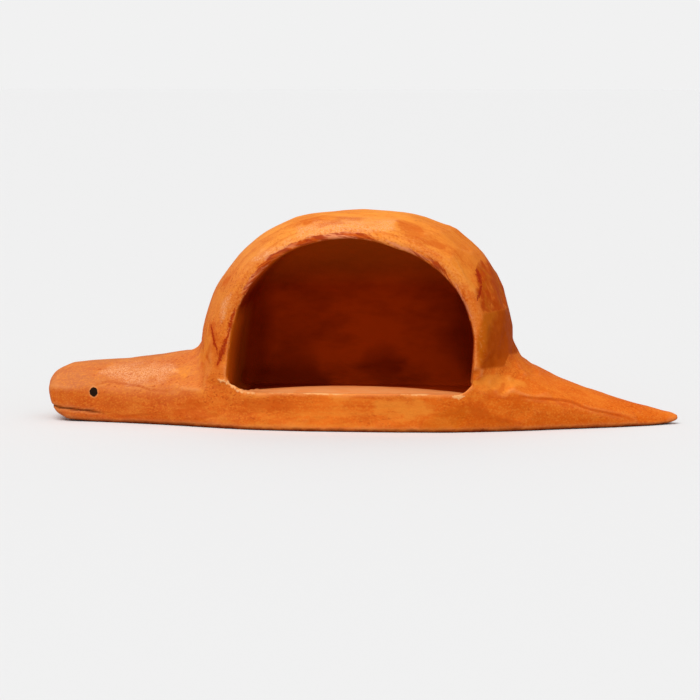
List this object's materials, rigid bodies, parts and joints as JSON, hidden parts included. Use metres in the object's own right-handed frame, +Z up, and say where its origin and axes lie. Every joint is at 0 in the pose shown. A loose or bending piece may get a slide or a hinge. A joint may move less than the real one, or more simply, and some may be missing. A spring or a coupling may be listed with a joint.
{
  "type": "wooden animal figurine",
  "caption": "Knife-carved, stained wooden figurine of a low, legless animal with a blunt head, a pointed tail and a domed shell hollowed from one side into an arched niche.",
  "frame": {"origin": "centre of the bounding box at the flat underside, on the surface that the figurine stands on", "axes": "+X from the nose to the tip of the tail, -Y out of the mouth of the niche, +Z up"},
  "size_m": [0.25, 0.0739, 0.0842],
  "materials": {
    "stained_wood": "orange stained, hand rubbed, satin"
  },
  "bodies": {
    "root": {"carved_animal": "stained_wood"}
  },
  "joints": []
}
